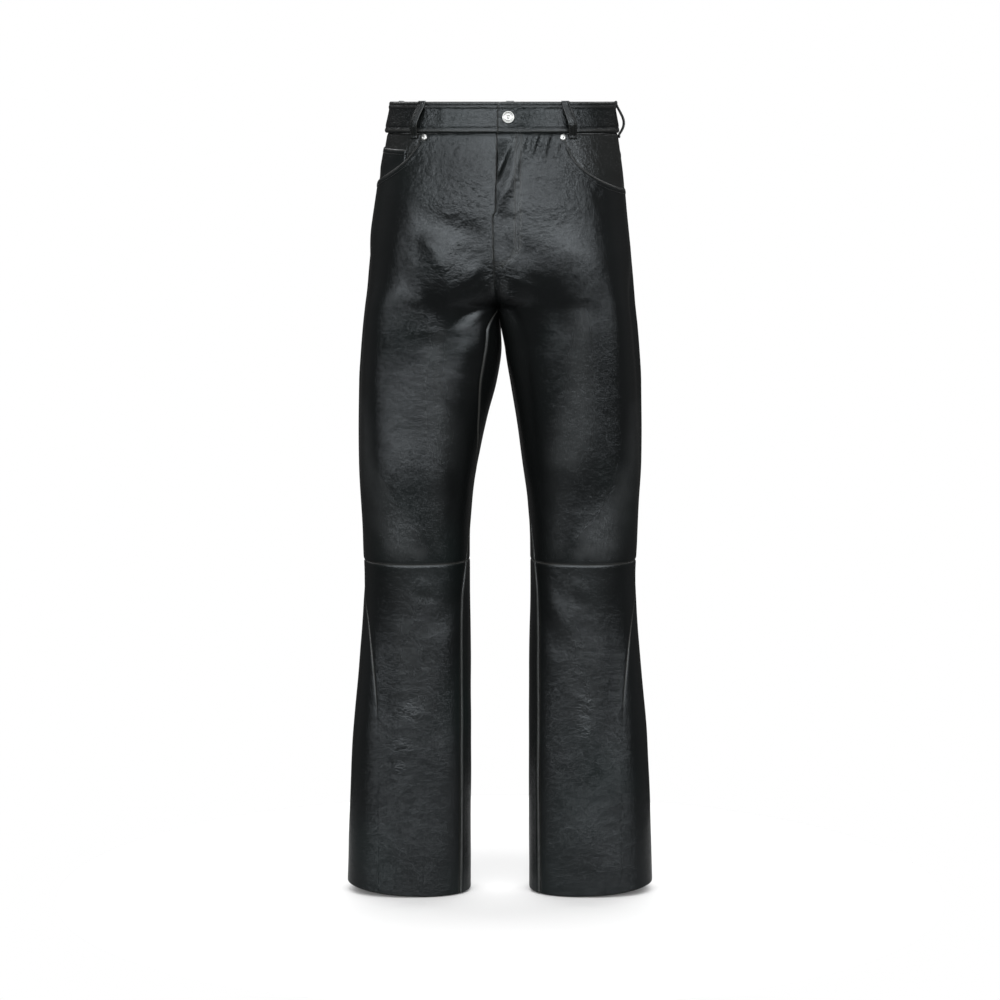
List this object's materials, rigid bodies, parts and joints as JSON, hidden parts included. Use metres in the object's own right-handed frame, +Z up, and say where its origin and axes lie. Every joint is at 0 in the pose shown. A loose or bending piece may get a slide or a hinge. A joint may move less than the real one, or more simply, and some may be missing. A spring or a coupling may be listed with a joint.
{
  "type": "leather jeans",
  "caption": "Straight-leg five-pocket leather jeans with a cut knee, filled out and hanging open from the waist, with belt loops, zip fly and shank button.",
  "frame": {"origin": "centre of the ring that the waistband's top edge makes, where the wearer's waist holds the garment", "axes": "+Z up, -Z down the legs; the garment's front faces -Y; +X is the wearer's left"},
  "size_m": [0.429, 0.2711, 1.104],
  "materials": {
    "leather": "fine-grained black leather, semi-gloss, worn lighter along the seams",
    "metal": "plain silver-coloured metal, lightly worn",
    "zip_tape": "matt black woven tape"
  },
  "bodies": {
    "root": {"waistband": "leather", "belt_loop_front_left": "leather", "belt_loop_front_right": "leather", "belt_loop_side_left": "leather", "belt_loop_side_right": "leather", "belt_loop_back": "leather", "front_upper_left": "leather", "front_upper_right": "leather", "front_lower_left": "leather", "front_lower_right": "leather", "back_upper_left": "leather", "back_upper_right": "leather", "back_lower_left": "leather", "back_lower_right": "leather", "yoke_left": "leather", "yoke_right": "leather", "back_pocket_left": "leather", "back_pocket_right": "leather", "pocket_facing_left": "leather", "pocket_facing_right": "leather", "coin_pocket": "leather", "fly_zip": "zip_tape", "waist_button": "metal", "rivet_left": "metal", "rivet_right": "metal"}
  },
  "joints": []
}
